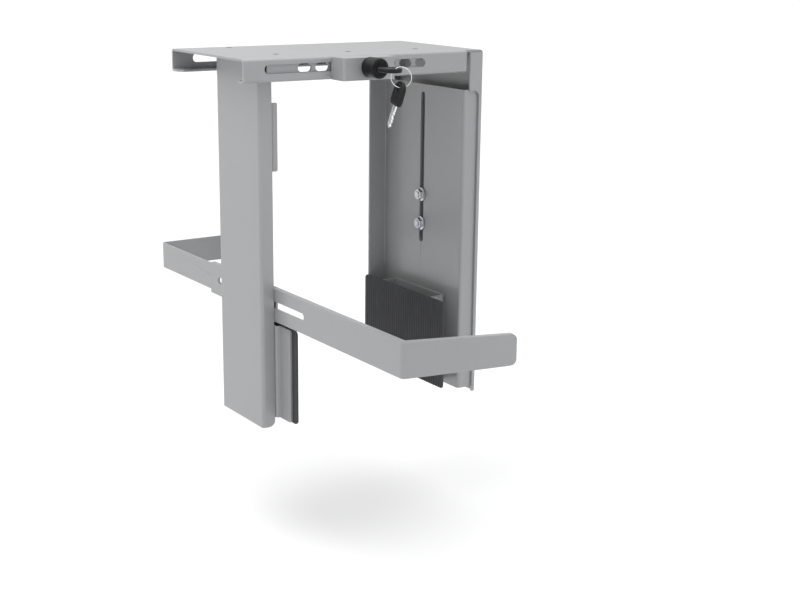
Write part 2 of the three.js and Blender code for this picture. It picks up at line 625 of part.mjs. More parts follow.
function lockPlug() {
  const [u, v] = [BLADE_W / 2 + GAP, BLADE_T / 2 + GAP];
  const keyway = box([LOCK_X - u, LOCK_X + u], [PLUG_FRONT - OVER, PLUG_FRONT + PLUG_L - PLUG_FLOOR],
    [SLOT_Z - v, SLOT_Z + v]);
  return cut(onLock(PLUG_R, PLUG_FRONT, PLUG_FRONT + PLUG_L), keyway);
}

function lockBolt() {
  const disc = PLUG_FRONT + PLUG_L + GAP;
  return union(
    onLock(BOLT_DISC_R, disc, disc + BOLT_DISC_T),
    onLock(BOLT_R, disc + BOLT_DISC_T / 2, FRONT + BOLT_REST),
  );
}

// ---------------------------------------------------------------- keys
// A key lies in its own frame: the blade runs along +Y from the bow's flat end at 0, the
// bow's round end is at -Y, and the key is flat in XY.
function keyBlade() {
  const half = BLADE_W / 2;
  const shape = new THREE.Shape();
  shape.moveTo(-half, -BOW_INSET);
  shape.lineTo(half, -BOW_INSET);
  shape.lineTo(half, BLADE_L - half);
  shape.lineTo(half / 5, BLADE_L);
  shape.lineTo(-half, BLADE_L - half / 2);
  const step = (0.7 * BLADE_L) / BLADE_TEETH;
  for (let i = 0; i < BLADE_TEETH; i += 1) {
    const y = BLADE_L - half - step * i;
    const deep = BLADE_CUTS[i % BLADE_CUTS.length];
    shape.lineTo(-half + deep, y - 0.2 * step);
    shape.lineTo(-half + deep, y - 0.4 * step);
    shape.lineTo(-half, y - 0.7 * step);
  }
  shape.closePath();
  return push('z', shape, -BLADE_T / 2, BLADE_T / 2);
}

// The bow's hole is `at` from the centre of its round end, and turned about that centre.
function keyBow([at, holeLength, holeWidth], holeTurn) {
  const half = BOW_W / 2;
  const shape = new THREE.Shape();
  shape.moveTo(-half + BOW_R, 0);
  shape.absarc(-half + BOW_R, -BOW_R, BOW_R, Math.PI / 2, Math.PI, false);
  shape.lineTo(-half, -BOW_L + half);
  shape.absarc(0, -BOW_L + half, half, Math.PI, 2 * Math.PI, false);
  shape.lineTo(half, -BOW_R);
  shape.absarc(half - BOW_R, -BOW_R, BOW_R, 0, Math.PI / 2, false);
  shape.closePath();
  const hole = new THREE.ExtrudeGeometry(slot(at - holeLength / 2, at + holeLength / 2, 0, holeWidth), {
    depth: BOW_T + 2 * OVER, bevelEnabled: false, curveSegments: FINE,
  });
  hole.translate(0, 0, -BOW_T / 2 - OVER).rotateZ(THREE.MathUtils.degToRad(holeTurn));
  hole.translate(0, -BOW_L + half, 0);
  const pocket = box([-BLADE_W / 2 - GAP, BLADE_W / 2 + GAP], [-BOW_INSET - GAP, OVER],
    [-BLADE_T / 2 - GAP, BLADE_T / 2 + GAP]);
  return cut(push('z', shape, -BOW_T / 2, BOW_T / 2), toSolid(hole), pocket);
}

// ---------------------------------------------------------------- assembly
piece('desk_frame', deskFrame(), coat);
piece('sliding_bracket', slidingBracket(), coat);
piece('left_carriage', leftCarriage(), coat);
piece('left_ear_front', ear(CARRIAGE_Y[0] + SHEET / 2, 1), coat);
piece('left_ear_rear', ear(CARRIAGE_Y[1] - SHEET / 2, -1), coat);
piece('right_carriage', rightCarriage(), coat);

const leftWing = BAY_LEFT - PAD - GAP - SHEET / 2;
const rightWing = BAY_RIGHT + PAD + GAP + SHEET / 2;
piece('left_clamp_plate', clampPlate(CLAMP_X + SHEET / 2, leftWing, LEG_MID_Y, LEFT_HAT), coat);
piece('left_facing', facing(BAY_LEFT - PAD, LEG_MID_Y, LEFT_HAT), rubber);
piece('right_clamp_plate',
  clampPlate(RIGHT_CARRIAGE_X - GAP - SHEET / 2, rightWing, 0, RIGHT_HAT), coat);
piece('right_facing', facing(BAY_RIGHT, 0, RIGHT_HAT), rubber);

const leftCollar = CARRIAGE_X - LEG_X - 2 * SHEET - 2 * GAP;
const rightCollar = WEB_IN - (RIGHT_CARRIAGE_X + SHEET) - 2 * GAP;
const threadLength = SHEET + 2 * GAP + NUT_H + NUT_SHOWS;
const leftNutX = CARRIAGE_X - SHEET - GAP;
const rightNutX = RIGHT_CARRIAGE_X + SHEET + GAP;
const leftSeat = CLAMP_X + SHEET + GAP;
const rightSeat = RIGHT_CARRIAGE_X - SHEET - 2 * GAP;
['upper', 'lower'].forEach((level, i) => {
  const stud = STUD_Z[i];
  piece(`left_guide_stud_${level}`,
    guideStud(LEG_X + SHEET + GAP, 1, leftCollar, leftCollar + threadLength, LEG_MID_Y, stud), zinc);
  piece(`left_guide_nut_${level}`, flangeNut(CARRIAGE_X + GAP, 1, LEG_MID_Y, stud), zinc);
  piece(`right_guide_stud_${level}`,
    guideStud(WEB_IN - GAP, -1, rightCollar, rightCollar + threadLength, 0, stud), zinc);
  piece(`right_guide_nut_${level}`, flangeNut(RIGHT_CARRIAGE_X - GAP, -1, 0, stud), zinc);

  const screw = CLAMP_SCREW_Z[i];
  piece(`left_clamp_screw_${level}`,
    lowScrew(leftSeat, -1, leftSeat - leftNutX + NUT_H, LEG_MID_Y, screw), zinc);
  piece(`left_clamp_nut_${level}`, flangeNut(leftNutX, -1, LEG_MID_Y, screw), zinc);
  piece(`right_clamp_screw_${level}`,
    lowScrew(rightSeat, 1, rightNutX - rightSeat + NUT_H, 0, screw), zinc);
  piece(`right_clamp_nut_${level}`, flangeNut(rightNutX, 1, 0, screw), zinc);
});

piece('front_arm', frontArm(), coat);
piece('rear_arm', rearArm(), coat);
const armSeat = REAR_ARM_X + SHEET + GAP;
['front', 'rear'].forEach((place, i) => {
  piece(`arm_screw_${place}`,
    lowScrew(armSeat, -1, armSeat - leftNutX + NUT_H, ARM_SCREW_Y[i], ARM_MID_Z), zinc);
  piece(`arm_nut_${place}`, flangeNut(leftNutX, -1, ARM_SCREW_Y[i], ARM_MID_Z), zinc);
});

piece('lock_housing', lockHousing(), coat);
piece('lock_barrel', lockBarrel(), black);
piece('lock_clip', lockClip(), zinc);
piece('lock_plug', lockPlug(), black);
piece('lock_bolt', lockBolt(), steel);

const key = new THREE.Group();
key.position.set(LOCK_X, BOW_BACK, SLOT_Z);
piece('key_blade', keyBlade(), steel, key);
piece('key_bow', keyBow(RING_SLOT, RING_TURN), plastic, key);
holder.add(key);

// The ring hangs over the plastic between the slot and the bow's edge.
const turn = THREE.MathUtils.degToRad(RING_TURN);
const bridge = (RING_SLOT[0] + RING_SLOT[1] / 2 + BOW_W / 2) / 2;
const bridgeHalf = BOW_W / 2 - bridge;
const ringDrop = Math.sqrt((RING_R - WIRE_R - GAP) ** 2 - bridgeHalf ** 2) - BOW_T / 2;
const ring = new THREE.Group();
ring.position.set(LOCK_X + bridge * Math.cos(turn), BOW_END_Y + bridge * Math.sin(turn), SLOT_Z - ringDrop);
ring.rotation.z = turn;
const wire = new THREE.TorusGeometry(RING_R, WIRE_R, 8, ROUND * 2);
wire.rotateX(Math.PI / 2);
piece('key_ring', toSolid(wire), steel, ring);
holder.add(ring);

// The spare key hangs from the lowest point of the ring.
const spare = new THREE.Group();
spare.position.set(0, 0, -RING_R + WIRE_R + SPARE_REST);
spare.rotation.y = THREE.MathUtils.degToRad(SPARE_LEAN);
const hung = new THREE.Group();
hung.rotation.z = THREE.MathUtils.degToRad(SPARE_TURN + 90);
const flat = new THREE.Group();
flat.rotation.x = -Math.PI / 2;
flat.position.z = -BOW_L + BOW_W / 2 + RING_HOLE[0] - RING_HOLE[1] / 2;
piece('spare_key_blade', keyBlade(), steel, flat);
piece('spare_key_bow', keyBow(RING_HOLE, 90), plastic, flat);
hung.add(flat);
spare.add(hung);
ring.add(spare);

export default holder;
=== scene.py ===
"""Finishes an under-desk computer holder around its fixed frame.

The frame gives every piece its place and size. Each operator makes one group of pieces:
the folded sheets, the facings, the fasteners, the lock and the keys. One more sets up the
studio. Lengths are in metres, +Z is up, -Y is the front and -X is the sliding side.
"""

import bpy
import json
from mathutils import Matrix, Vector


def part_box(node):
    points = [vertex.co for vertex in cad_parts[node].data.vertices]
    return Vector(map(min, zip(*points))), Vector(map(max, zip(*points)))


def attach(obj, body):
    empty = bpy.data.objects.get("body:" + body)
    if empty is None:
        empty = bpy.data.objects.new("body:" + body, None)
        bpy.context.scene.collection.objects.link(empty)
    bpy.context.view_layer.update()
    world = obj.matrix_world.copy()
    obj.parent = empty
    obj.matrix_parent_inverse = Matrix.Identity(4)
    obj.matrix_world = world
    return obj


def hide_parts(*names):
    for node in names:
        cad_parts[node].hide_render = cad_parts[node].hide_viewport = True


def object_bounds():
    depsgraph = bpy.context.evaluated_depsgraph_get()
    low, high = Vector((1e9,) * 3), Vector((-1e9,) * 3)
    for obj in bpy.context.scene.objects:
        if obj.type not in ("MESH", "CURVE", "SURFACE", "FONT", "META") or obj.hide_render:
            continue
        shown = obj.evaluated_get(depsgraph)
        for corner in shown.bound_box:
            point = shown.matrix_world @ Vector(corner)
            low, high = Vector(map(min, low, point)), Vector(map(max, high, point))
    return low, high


bl_info = {
    "name": "Under-desk computer holder",
    "version": (1, 0, 0),
    "blender": (4, 5, 0),
    "location": "3D View > Sidebar > Holder",
    "description": "Finishes a lockable computer holder: sheets, facings, fasteners, lock and keys",
    "category": "Object",
}

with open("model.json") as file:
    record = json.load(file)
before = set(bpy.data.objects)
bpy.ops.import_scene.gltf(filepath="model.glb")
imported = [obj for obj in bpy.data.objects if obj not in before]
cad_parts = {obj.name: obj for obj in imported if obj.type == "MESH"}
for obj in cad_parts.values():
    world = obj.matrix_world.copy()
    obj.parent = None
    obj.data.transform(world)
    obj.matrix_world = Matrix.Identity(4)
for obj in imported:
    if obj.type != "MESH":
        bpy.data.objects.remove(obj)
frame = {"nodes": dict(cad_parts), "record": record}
cad_low, cad_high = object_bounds()

import json
import math

import bmesh
import bpy
from bpy.props import FloatProperty, FloatVectorProperty, IntProperty, PointerProperty
from mathutils import Matrix, Vector

MM = 0.001
BODY_OF = {
    node: body
    for body, nodes in frame["record"]["behaviour"]["bodies"].items()
    for node in nodes
}
SLOT_OF = {part["node"]: part["material_slot"] for part in frame["record"]["subparts"]}
SLOT_COLOUR = {m["slot"]: tuple(m["base_color"]) + (1.0,) for m in frame["record"]["materials"]}


# ------------------------------------------------------------------ settings
def shade(tone, factor):
    """The same colour, lighter or darker."""
    return tuple(min(1.0, channel * factor) for channel in tone[:3]) + (1.0,)


def length(name, description, default):
    """A setting that is a length."""
    return FloatProperty(name=name, description=description, default=default, min=0.0,
                         unit="LENGTH", subtype="DISTANCE", precision=5)


def colour(name, description, default):
    """A setting that is a colour."""
    return FloatVectorProperty(name=name, description=description, default=default,
                               size=4, min=0.0, max=1.0, subtype="COLOR")


class HolderSizes(bpy.types.PropertyGroup):
    """Sizes of the details that the frame leaves plain."""

    fold_round: length("Fold round", "Round along the folded edges of the arms", 1.5 * MM)
    sheet_edge: length("Sheet edge", "Round on the cut edges of the folded sheets", 0.30 * MM)
    small_edge: length("Small edge", "Round on the edges of small steel pieces", 0.12 * MM)
    pitch: length("Thread pitch", "Pitch of the screws' and studs' threads", 1.0 * MM)
    thread_depth: length("Thread depth", "Depth of their threads", 0.55 * MM)
    rib_pitch: length("Rib pitch", "Spacing of the ribs on the rubber facings", 4.0 * MM)
    rib_depth: length("Rib depth", "Depth of the grooves between them", 0.7 * MM)
    ridge_pitch: length("Ridge pitch", "Spacing of the grip ridges on the key bows", 3.0 * MM)
    ridge_depth: length("Ridge depth", "Depth of the grooves between them", 0.8 * MM)
    ring_wire: length("Ring wire", "Half the thickness of the split ring's wire", 0.34 * MM)


class HolderColours(bpy.types.PropertyGroup):
    """Colours of the finishes."""

    coat: colour("Powder coat", "Folded sheets and lock housing",
                 shade(SLOT_COLOUR["powder_coat"], 0.70))
    zinc: colour("Zinc plate", "Screws, nuts, studs and the clip", SLOT_COLOUR["zinc_fastener"])
    nickel: colour("Nickel plate", "Key blades, ring, plug and bolt", SLOT_COLOUR["nickel_plate"])
    barrel: colour("Lock black", "The lock's barrel", SLOT_COLOUR["black_lock_metal"])
    bow: colour("Key black", "The keys' moulded bows", SLOT_COLOUR["black_key_plastic"])
    facing: colour("Rubber", "The clamp plates' facings", SLOT_COLOUR["rubber_facing"])
    floor: colour("Floor", "The studio floor", (0.76, 0.76, 0.76, 1.0))


class HolderStudio(bpy.types.PropertyGroup):
    """The camera and the light."""

    eye: FloatVectorProperty(name="Eye", description="Where the camera stands", size=3,
                             default=(-0.6963, -1.1330, 0.0982), subtype="TRANSLATION", unit="LENGTH")
    bearing: FloatProperty(name="Bearing", description="Turn of the view from +Y towards +X",
                           default=math.radians(34.58), subtype="ANGLE")
    tilt: FloatProperty(name="Tilt", description="How far the view looks down",
                        default=math.radians(14.54), subtype="ANGLE")
    roll: FloatProperty(name="Roll", description="Roll of the camera about its own view",
                        default=math.radians(0.69), subtype="ANGLE")
    lens: FloatProperty(name="Lens", description="Focal length on a 36 mm wide sensor, in millimetres",
                        default=61.87, subtype="DISTANCE_CAMERA")
    horizon: FloatProperty(name="Horizon", description="Brightness of the surroundings at the horizon",
                           default=0.82, min=0.0)
    overhead: FloatProperty(name="Overhead", description="How much brighter they are overhead",
                            default=3.0, min=0.0)
    floor_drop: length("Floor drop", "From the holder's lowest point to the floor", 120.0 * MM)
    fineness: IntProperty(name="Sides", description="Sides of a full round", default=48, min=12)


def sizes():
    return bpy.context.scene.holder_sizes


def colours():
    return bpy.context.scene.holder_colours


def studio():
    return bpy.context.scene.holder_studio


# ------------------------------------------------------------------ shader maths
SOCKET_NAMES = {
    "base_color": "Base Color", "metallic": "Metallic", "roughness": "Roughness", "normal": "Normal",
    "specular": "Specular IOR Level", "coat": "Coat Weight", "coat_roughness": "Coat Roughness",
}


class Socket:
    """A shader socket. Arithmetic on it adds Math nodes to its tree."""

    def __init__(self, nodes, socket):
        self.nodes = nodes
        self.socket = socket

    def math(self, operation, *values):
        return self.nodes.node("ShaderNodeMath", {"operation": operation}, dict(enumerate(values)))

    def __add__(self, other):
        return self.math("ADD", self, other)

    def __sub__(self, other):
        return self.math("SUBTRACT", self, other)

    def __rsub__(self, other):
        return self.math("SUBTRACT", other, self)

    def __mul__(self, other):
        return self.math("MULTIPLY", self, other)

    def __pow__(self, other):
        return self.math("POWER", self, other)

    def limited(self, low=0.0, high=1.0):
        return self.math("MINIMUM", self.math("MAXIMUM", self, low), high)

    __radd__ = __add__
    __rmul__ = __mul__


class Nodes:
    """A node tree in the making."""

    def __init__(self, owner):
        owner.use_nodes = True
        self.tree = owner.node_tree
        self.tree.nodes.clear()

    def fill(self, target, value):
        if isinstance(value, Socket):
            self.tree.links.new(value.socket, target)
        else:
            target.default_value = value

    def node(self, kind, settings=None, sockets=None, out=0):
        made = self.tree.nodes.new(kind)
        for key, value in (settings or {}).items():
            setattr(made, key, value)
        for key, value in (sockets or {}).items():
            self.fill(made.inputs[key], value)
        return Socket(self, made.outputs[out])


class Finish(Nodes):
    """A material in the making: its principled shader and the textures' place."""

    def __init__(self, name):
        self.material = bpy.data.materials.new(name)
        super().__init__(self.material)
        self.shader = self.tree.nodes.new("ShaderNodeBsdfPrincipled")
        output = self.tree.nodes.new("ShaderNodeOutputMaterial")
        self.tree.links.new(self.shader.outputs[0], output.inputs["Surface"])
        self.place = self.node("ShaderNodeTexCoord", out="Object")

    def noise(self, scale, detail=2.0, rough=0.5):
        """Noise about 0.5; scale is in features to the metre."""
        return self.node("ShaderNodeTexNoise", {"noise_dimensions": "3D"}, {
            "Vector": self.place, "Scale": scale, "Detail": detail, "Roughness": rough,
        })

    def streaks(self, scale, stretch, detail=2.0):
        """Noise drawn out along one axis: stretch is a scale factor for each axis."""
        drawn = self.node("ShaderNodeMapping", None, {"Vector": self.place, "Scale": stretch})
        return self.node("ShaderNodeTexNoise", {"noise_dimensions": "3D"}, {
            "Vector": drawn, "Scale": scale, "Detail": detail, "Roughness": 0.5,
        })

    def mix(self, share, first, second):
        return self.node("ShaderNodeMix", {"data_type": "RGBA"}, {0: share, 6: first, 7: second}, out=2)

    def edges(self, radius, gain):
        """1 along the edges of the piece, falling to 0 a radius away."""
        rounded = self.node("ShaderNodeBevel", {"samples": 4}, {"Radius": radius}, out="Normal")
        normal = self.node("ShaderNodeNewGeometry", out="Normal")
        same = self.node("ShaderNodeVectorMath", {"operation": "DOT_PRODUCT"},
                         {0: rounded, 1: normal}, out="Value")
        return ((1.0 - same) * gain).limited()

    def bump(self, height, distance, strength=1.0):
        return self.node("ShaderNodeBump", None, {
            "Height": height, "Distance": distance, "Strength": strength,
        }, out="Normal")

    def done(self, **sockets):
        for name, value in sockets.items():
            self.fill(self.shader.inputs[SOCKET_NAMES[name]], value)
        return self.material


# ------------------------------------------------------------------ finishes
def powder_coat(tone):
    """Fine satin powder coat: a soft orange-peel skin with a metallic sparkle, thin on edges."""
    finish = Finish("powder_coat")
    cloud = finish.noise(7.0, 3.0)
    peel = finish.noise(620.0, 2.0)
    grit = finish.noise(3300.0, 1.0)
    worn = finish.edges(0.7 * MM, 3.0) * (0.35 + 0.9 * finish.noise(160.0, 3.0))
    sparkle = ((grit - 0.62) * 9.0).limited()
    base = finish.mix(cloud, shade(tone, 0.94), shade(tone, 1.05))
    base = finish.mix(sparkle * 0.35, base, shade(tone, 1.55))
    base = finish.mix(worn.limited() * 0.30, base, shade(tone, 1.30))
    rough = 0.30 + 0.08 * peel + 0.10 * cloud - 0.08 * sparkle
    skin = finish.bump(0.65 * peel + 0.35 * grit, 0.035 * MM, 0.45)
    return finish.done(base_color=base, metallic=0.10, roughness=rough, normal=skin, coat=0.35,
                       coat_roughness=0.16)


def zinc_plate(tone):
    """Bright zinc: a faint blue and straw cast over fine turning marks."""
    finish = Finish("zinc_plate")
    cast = finish.noise(90.0, 2.0)
    marks = finish.noise(2600.0, 2.0)
    worn = finish.edges(0.4 * MM, 3.0)
    cool = (tone[0] * 0.94, tone[1] * 0.98, tone[2] * 1.05, 1.0)
    straw = (tone[0] * 1.05, tone[1] * 1.01, tone[2] * 0.88, 1.0)
    base = finish.mix(((cast - 0.35) * 2.4).limited(), cool, straw)
    base = finish.mix(worn * 0.5, base, shade(tone, 1.25))
    rough = 0.24 + 0.16 * marks + 0.10 * cast
    return finish.done(base_color=base, metallic=1.0, roughness=rough,
                       normal=finish.bump(marks, 0.012 * MM, 0.5))


def nickel_plate(tone):
    """Polished nickel with hair scratches from use."""
    finish = Finish("nickel_plate")
    hair = finish.streaks(300.0, (1.0, 9.0, 1.0), 3.0)
    cross = finish.streaks(260.0, (8.0, 1.0, 3.0), 2.0)
    scratch = ((hair - 0.60) * 7.0).limited() * 0.6 + ((cross - 0.64) * 7.0).limited() * 0.4
    worn = finish.edges(0.35 * MM, 3.0)
    base = finish.mix(scratch * 0.5, tone, shade(tone, 0.78))
    base = finish.mix(worn * 0.4, base, shade(tone, 1.2))
    rough = 0.14 + 0.18 * scratch + 0.08 * finish.noise(120.0)
    return finish.done(base_color=base, metallic=1.0, roughness=rough,
                       normal=finish.bump(scratch, -0.01 * MM, 0.5))


def black_metal(tone):
    """Satin black plating that has worn to a softer grey on its edges."""
    finish = Finish("black_lock_metal")
    grit = finish.noise(2400.0, 2.0)
    cloud = finish.noise(70.0, 2.0)
    worn = finish.edges(0.5 * MM, 3.0) * (0.3 + finish.noise(420.0, 2.0))
    base = finish.mix(cloud, shade(tone, 0.45), shade(tone, 0.75))
    base = finish.mix(worn.limited() * 0.5, base, (0.07, 0.07, 0.068, 1.0))
    rough = 0.30 + 0.12 * grit + 0.06 * cloud
    return finish.done(base_color=base, metallic=0.0, roughness=rough, specular=0.22,
                       normal=finish.bump(grit, 0.012 * MM, 0.6))


def moulded_plastic(tone):
    """Black plastic with a spark-eroded grain, rubbed smooth on its ridges; a painted highlight lightens its
    ridges and edges.
    """
    finish = Finish("moulded_plastic")
    grain = finish.noise(1900.0, 3.0, 0.6)
    # the bow's ridges and edges: rubbing lowers their roughness, and their colour carries a painted
    # highlight
    lightened_edges = finish.edges(0.45 * MM, 5.0)
    base = finish.mix(finish.noise(140.0), shade(tone, 0.35), shade(tone, 0.6))
    # painted highlight: the ridges and edges are made lighter in colour, as light falling on them would make
    # them
    base = finish.mix(lightened_edges * 0.8, base, (0.11, 0.11, 0.115, 1.0))
    rough = 0.38 + 0.12 * grain - 0.14 * lightened_edges
    return finish.done(base_color=base, metallic=0.0, roughness=rough, specular=0.25,
                       normal=finish.bump(grain, 0.03 * MM, 0.6))


def ribbed_rubber(tone):
    """Dull rubber with a fine open grain and a little dust in it."""
    finish = Finish("ribbed_rubber")
    grain = finish.noise(1300.0, 3.0, 0.6)
    dust = ((finish.noise(38.0, 3.0) - 0.45) * 2.0).limited()
    # lighter along the edges, where the rubber is rubbed
    lightened_edges = finish.edges(0.6 * MM, 2.5)
    base = finish.mix(grain, shade(tone, 0.75), shade(tone, 1.25))
    base = finish.mix(dust * 0.25 + lightened_edges * 0.2, base, shade(tone, 2.2))
    return finish.done(base_color=base, metallic=0.0, roughness=0.74 + 0.16 * grain,
                       normal=finish.bump(grain, 0.06 * MM, 0.7))


FINISHES = {
    "powder_coat": (powder_coat, "coat"),
    "zinc_fastener": (zinc_plate, "zinc"),
    "nickel_plate": (nickel_plate, "nickel"),
    "black_lock_metal": (black_metal, "barrel"),
    "black_key_plastic": (moulded_plastic, "bow"),
    "rubber_facing": (ribbed_rubber, "facing"),
}
made_finishes = {}


def finish_for(slot):
    """The material of one of the record's slots, made once."""
    if slot not in made_finishes:
        make, setting = FINISHES[slot]
        made_finishes[slot] = make(tuple(getattr(colours(), setting)))
    return made_finishes[slot]


# ------------------------------------------------------------------ meshes
def put(name, solid, node, crease=40.0, weighted=False, stands_for=True):
    """Turns a bmesh into a piece that rides on a node's body, and stands for it unless told not to."""
    bmesh.ops.recalc_face_normals(solid, faces=solid.faces)
    mesh = bpy.data.meshes.new(name)
    solid.to_mesh(mesh)
    solid.free()
    mesh.shade_smooth()
    mesh.set_sharp_from_angle(angle=math.radians(crease))
    mesh.materials.append(finish_for(SLOT_OF[node]))
    piece = bpy.data.objects.new(name, mesh)
    bpy.context.scene.collection.objects.link(piece)
    if weighted:
        even = piece.modifiers.new("even_flats", "WEIGHTED_NORMAL")
        even.keep_sharp = True
    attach(piece, BODY_OF[node])
    if stands_for:
        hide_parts(node)


def round_edges(solid, edges, width, segments):
    bmesh.ops.bevel(solid, geom=edges, offset=width, offset_type="OFFSET", segments=segments,
                    profile=0.5, affect="EDGES", clamp_overlap=True)


def softened(node, edge, segments=2, corner=32.0, folds=None):
    """A copy of a node's solid: merged, its flats made whole and its sharp edges rounded."""
    solid = bmesh.new()
    solid.from_mesh(frame["nodes"][node].data)
    bmesh.ops.remove_doubles(solid, verts=solid.verts, dist=0.002 * MM)
    bmesh.ops.dissolve_limit(solid, angle_limit=math.radians(0.6), verts=solid.verts, edges=solid.edges)
    if folds:
        round_edges(solid, [e for e in solid.edges if folds(e)], sizes().fold_round, 5)
    sharp = [e for e in solid.edges
             if len(e.link_faces) == 2 and e.calc_face_angle() > math.radians(corner)]
    round_edges(solid, sharp, edge, segments)
    return solid


def folded_edge(out_y):
    """Picks the edges between an arm's outer sides and its folded rims. out_y: the hook's way."""
    def picks(edge):
        if len(edge.link_faces) != 2:
            return False
        flat, side = sorted((face.normal for face in edge.link_faces), key=lambda n: -abs(n.z))
        return abs(flat.z) > 0.9 and abs(side.z) < 0.3 and (side.x < -0.4 or side.y * out_y > 0.4)

    return picks


def ring(x, radius, sides):
    """Points round the X axis. radius is a number or gives one for an angle."""
    points = []
    for i in range(sides):
        angle = 2.0 * math.pi * i / sides
        r = radius(angle) if callable(radius) else radius
        points.append(Vector((x, r * math.cos(angle), r * math.sin(angle))))
    return points


def skin(rings, closed=False):
    """A solid through a row of rings of points, capped at both ends or closed on itself."""
    solid = bmesh.new()
    rows = [[solid.verts.new(p) for p in points] for points in rings]
    count = len(rows[0])
    pairs = list(zip(rows, rows[1:]))
    if closed:
        pairs.append((rows[-1], rows[0]))
    for first, second in pairs:
        for i in range(count):
            j = (i + 1) % count
            solid.faces.new((first[i], first[j], second[j], second[i]))
    if not closed:
        solid.faces.new(rows[0])
        solid.faces.new(rows[-1])
    return solid


def hexagon(across_flats, most=1.0):
    """Radius of a hexagon at an angle, cut to a circle of radius `most`."""
    sixth = math.pi / 3.0

    def radius(angle):
        off = (angle + sixth / 2.0) % sixth - sixth / 2.0
        return min(most, across_flats / 2.0 / math.cos(off))

    return radius


def thread(start, end, radius, sides):
    """Rings of a screw thread, which runs out at its free end."""
    pitch, depth = sizes().pitch, sizes().thread_depth
    steps = max(2, round((end - start) / pitch * 6))
    run_out = 1.5 * pitch
    rings = []
    for k in range(steps + 1):
        x = start + (end - start) * k / steps
        fade = min(1.0, (end - x) / run_out, (x - start) / run_out + 0.2)

        def crest(angle, x=x, fade=fade):
            phase = (x / pitch - angle / (2.0 * math.pi)) % 1.0
            return radius - depth * max(0.0, fade) * abs(2.0 * phase - 1.0)

        rings.append(ring(x, crest, sides))
    return rings


def moved(solid, matrix):
    bmesh.ops.transform(solid, matrix=matrix, verts=solid.verts)
    return solid


def middle(node):
    low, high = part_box(node)
    return (low + high) / 2.0


# ------------------------------------------------------------------ fasteners
HEAD_H, HEAD_R = 2.4 * MM, 8.0 * MM
SOCKET_AF, SOCKET_FLOOR = 4.0 * MM, 0.8 * MM
SHANK_R = 3.0 * MM
COLLAR_R = 5.0 * MM
NUT_AF, NUT_H, NUT_FLANGE_R = 10.0 * MM, 5.0 * MM, 7.0 * MM
STUD_THREAD = 8.6 * MM
THREAD_FROM = 0.2 * MM   # from a stud's collar to its thread
THREAD_SHORT = 0.4 * MM  # a thread stops this far short of the end


def fastener_place(node, towards):
    """Puts a fastener made along +X from 0 where the node is. towards is the way it points."""
    low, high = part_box(node)
    centre = (low + high) / 2.0
    start = low.x if towards > 0 else high.x
    return Matrix.Translation((start, centre.y, centre.z)) @ Matrix.Diagonal((towards, 1, 1, 1))


def low_screw(node, towards):
    """A wide, low head with a rounded rim and a hexagon socket, on a threaded shank."""
    sides = studio().fineness
    low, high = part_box(node)
    end = high.x - low.x
    socket = hexagon(SOCKET_AF)
    floor = HEAD_H - SOCKET_FLOOR
    chamfer, soft, rim, rim_steps = 0.25 * MM, 0.2 * MM, 1.1 * MM, 5
    rings = [
        ring(floor, 0.3 * MM, sides),
        ring(floor - 0.05 * MM, socket, sides),
        ring(chamfer, socket, sides),
        ring(0.0, lambda a: socket(a) + chamfer, sides),
    ]
    for k in range(rim_steps + 1):
        turn = math.pi / 2.0 * k / rim_steps
        rings.append(ring(rim * (1.0 - math.cos(turn)), HEAD_R - rim * (1.0 - math.sin(turn)), sides))
    rings += [
        ring(HEAD_H - soft, HEAD_R, sides),
        ring(HEAD_H, HEAD_R - soft, sides),
        ring(HEAD_H, SHANK_R + soft, sides),
        ring(HEAD_H + soft, SHANK_R, sides),
    ]
    rings += thread(HEAD_H + 2.0 * soft, end - THREAD_SHORT, SHANK_R, sides)
    rings.append(ring(end, SHANK_R - sizes().thread_depth, sides))
    return moved(skin(rings), fastener_place(node, towards))


def guide_stud(node, towards):
    """A plain collar with softened ends, and the thread that goes on through the slot."""
    sides = studio().fineness
    low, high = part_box(node)
    end = high.x - low.x
    collar = end - STUD_THREAD
    soft, fillet = 0.35 * MM, 0.15 * MM
    rings = [
        ring(0.0, COLLAR_R - soft, sides),
        ring(soft, COLLAR_R, sides),
        ring(collar - soft, COLLAR_R, sides),
        ring(collar, COLLAR_R - soft, sides),
        ring(collar, SHANK_R + fillet, sides),
    ]
    rings += thread(collar + THREAD_FROM, end - THREAD_SHORT, SHANK_R, sides)
    rings.append(ring(end, SHANK_R - sizes().thread_depth, sides))
    return moved(skin(rings), fastener_place(node, towards))


def flange_nut(node, towards):
    """A hexagon nut with a serrated flange and chamfered corners."""
    sides = studio().fineness
    flats = hexagon(NUT_AF)
    bore, countersink = SHANK_R + 0.1 * MM, 0.5 * MM
    tooth = 0.12 * MM

    def serrated(angle):
        return NUT_FLANGE_R - tooth * (0.5 + 0.5 * math.cos(angle * sides / 4))

    def chamfered(over):
        """The hexagon with its corners turned off, so far outside its flats."""
        return hexagon(NUT_AF, NUT_AF / 2.0 + over)

    profile = [
        (0.0, bore + countersink), (0.0, NUT_FLANGE_R - 0.35 * MM),
        (0.3 * MM, serrated), (0.9 * MM, serrated), (1.3 * MM, NUT_FLANGE_R - 0.7 * MM),
        (1.7 * MM, lambda a: flats(a) + 0.15 * MM), (2.1 * MM, flats), (NUT_H - 0.75 * MM, flats),
        (NUT_H - 0.3 * MM, chamfered(0.4 * MM)), (NUT_H, chamfered(0.05 * MM)),
        (NUT_H, bore + countersink), (NUT_H - countersink, bore), (countersink, bore),
    ]
    rings = [ring(x, radius, sides) for x, radius in profile]
    return moved(skin(rings, closed=True), fastener_place(node, towards))


# ------------------------------------------------------------------ facings
FACING_CORNER = 3.0 * MM
FACING_EDGE = 0.35 * MM
RIB_RUN_OUT = 2.5 * MM
RIB_STEPS = 8
CORNER_STEPS = 6


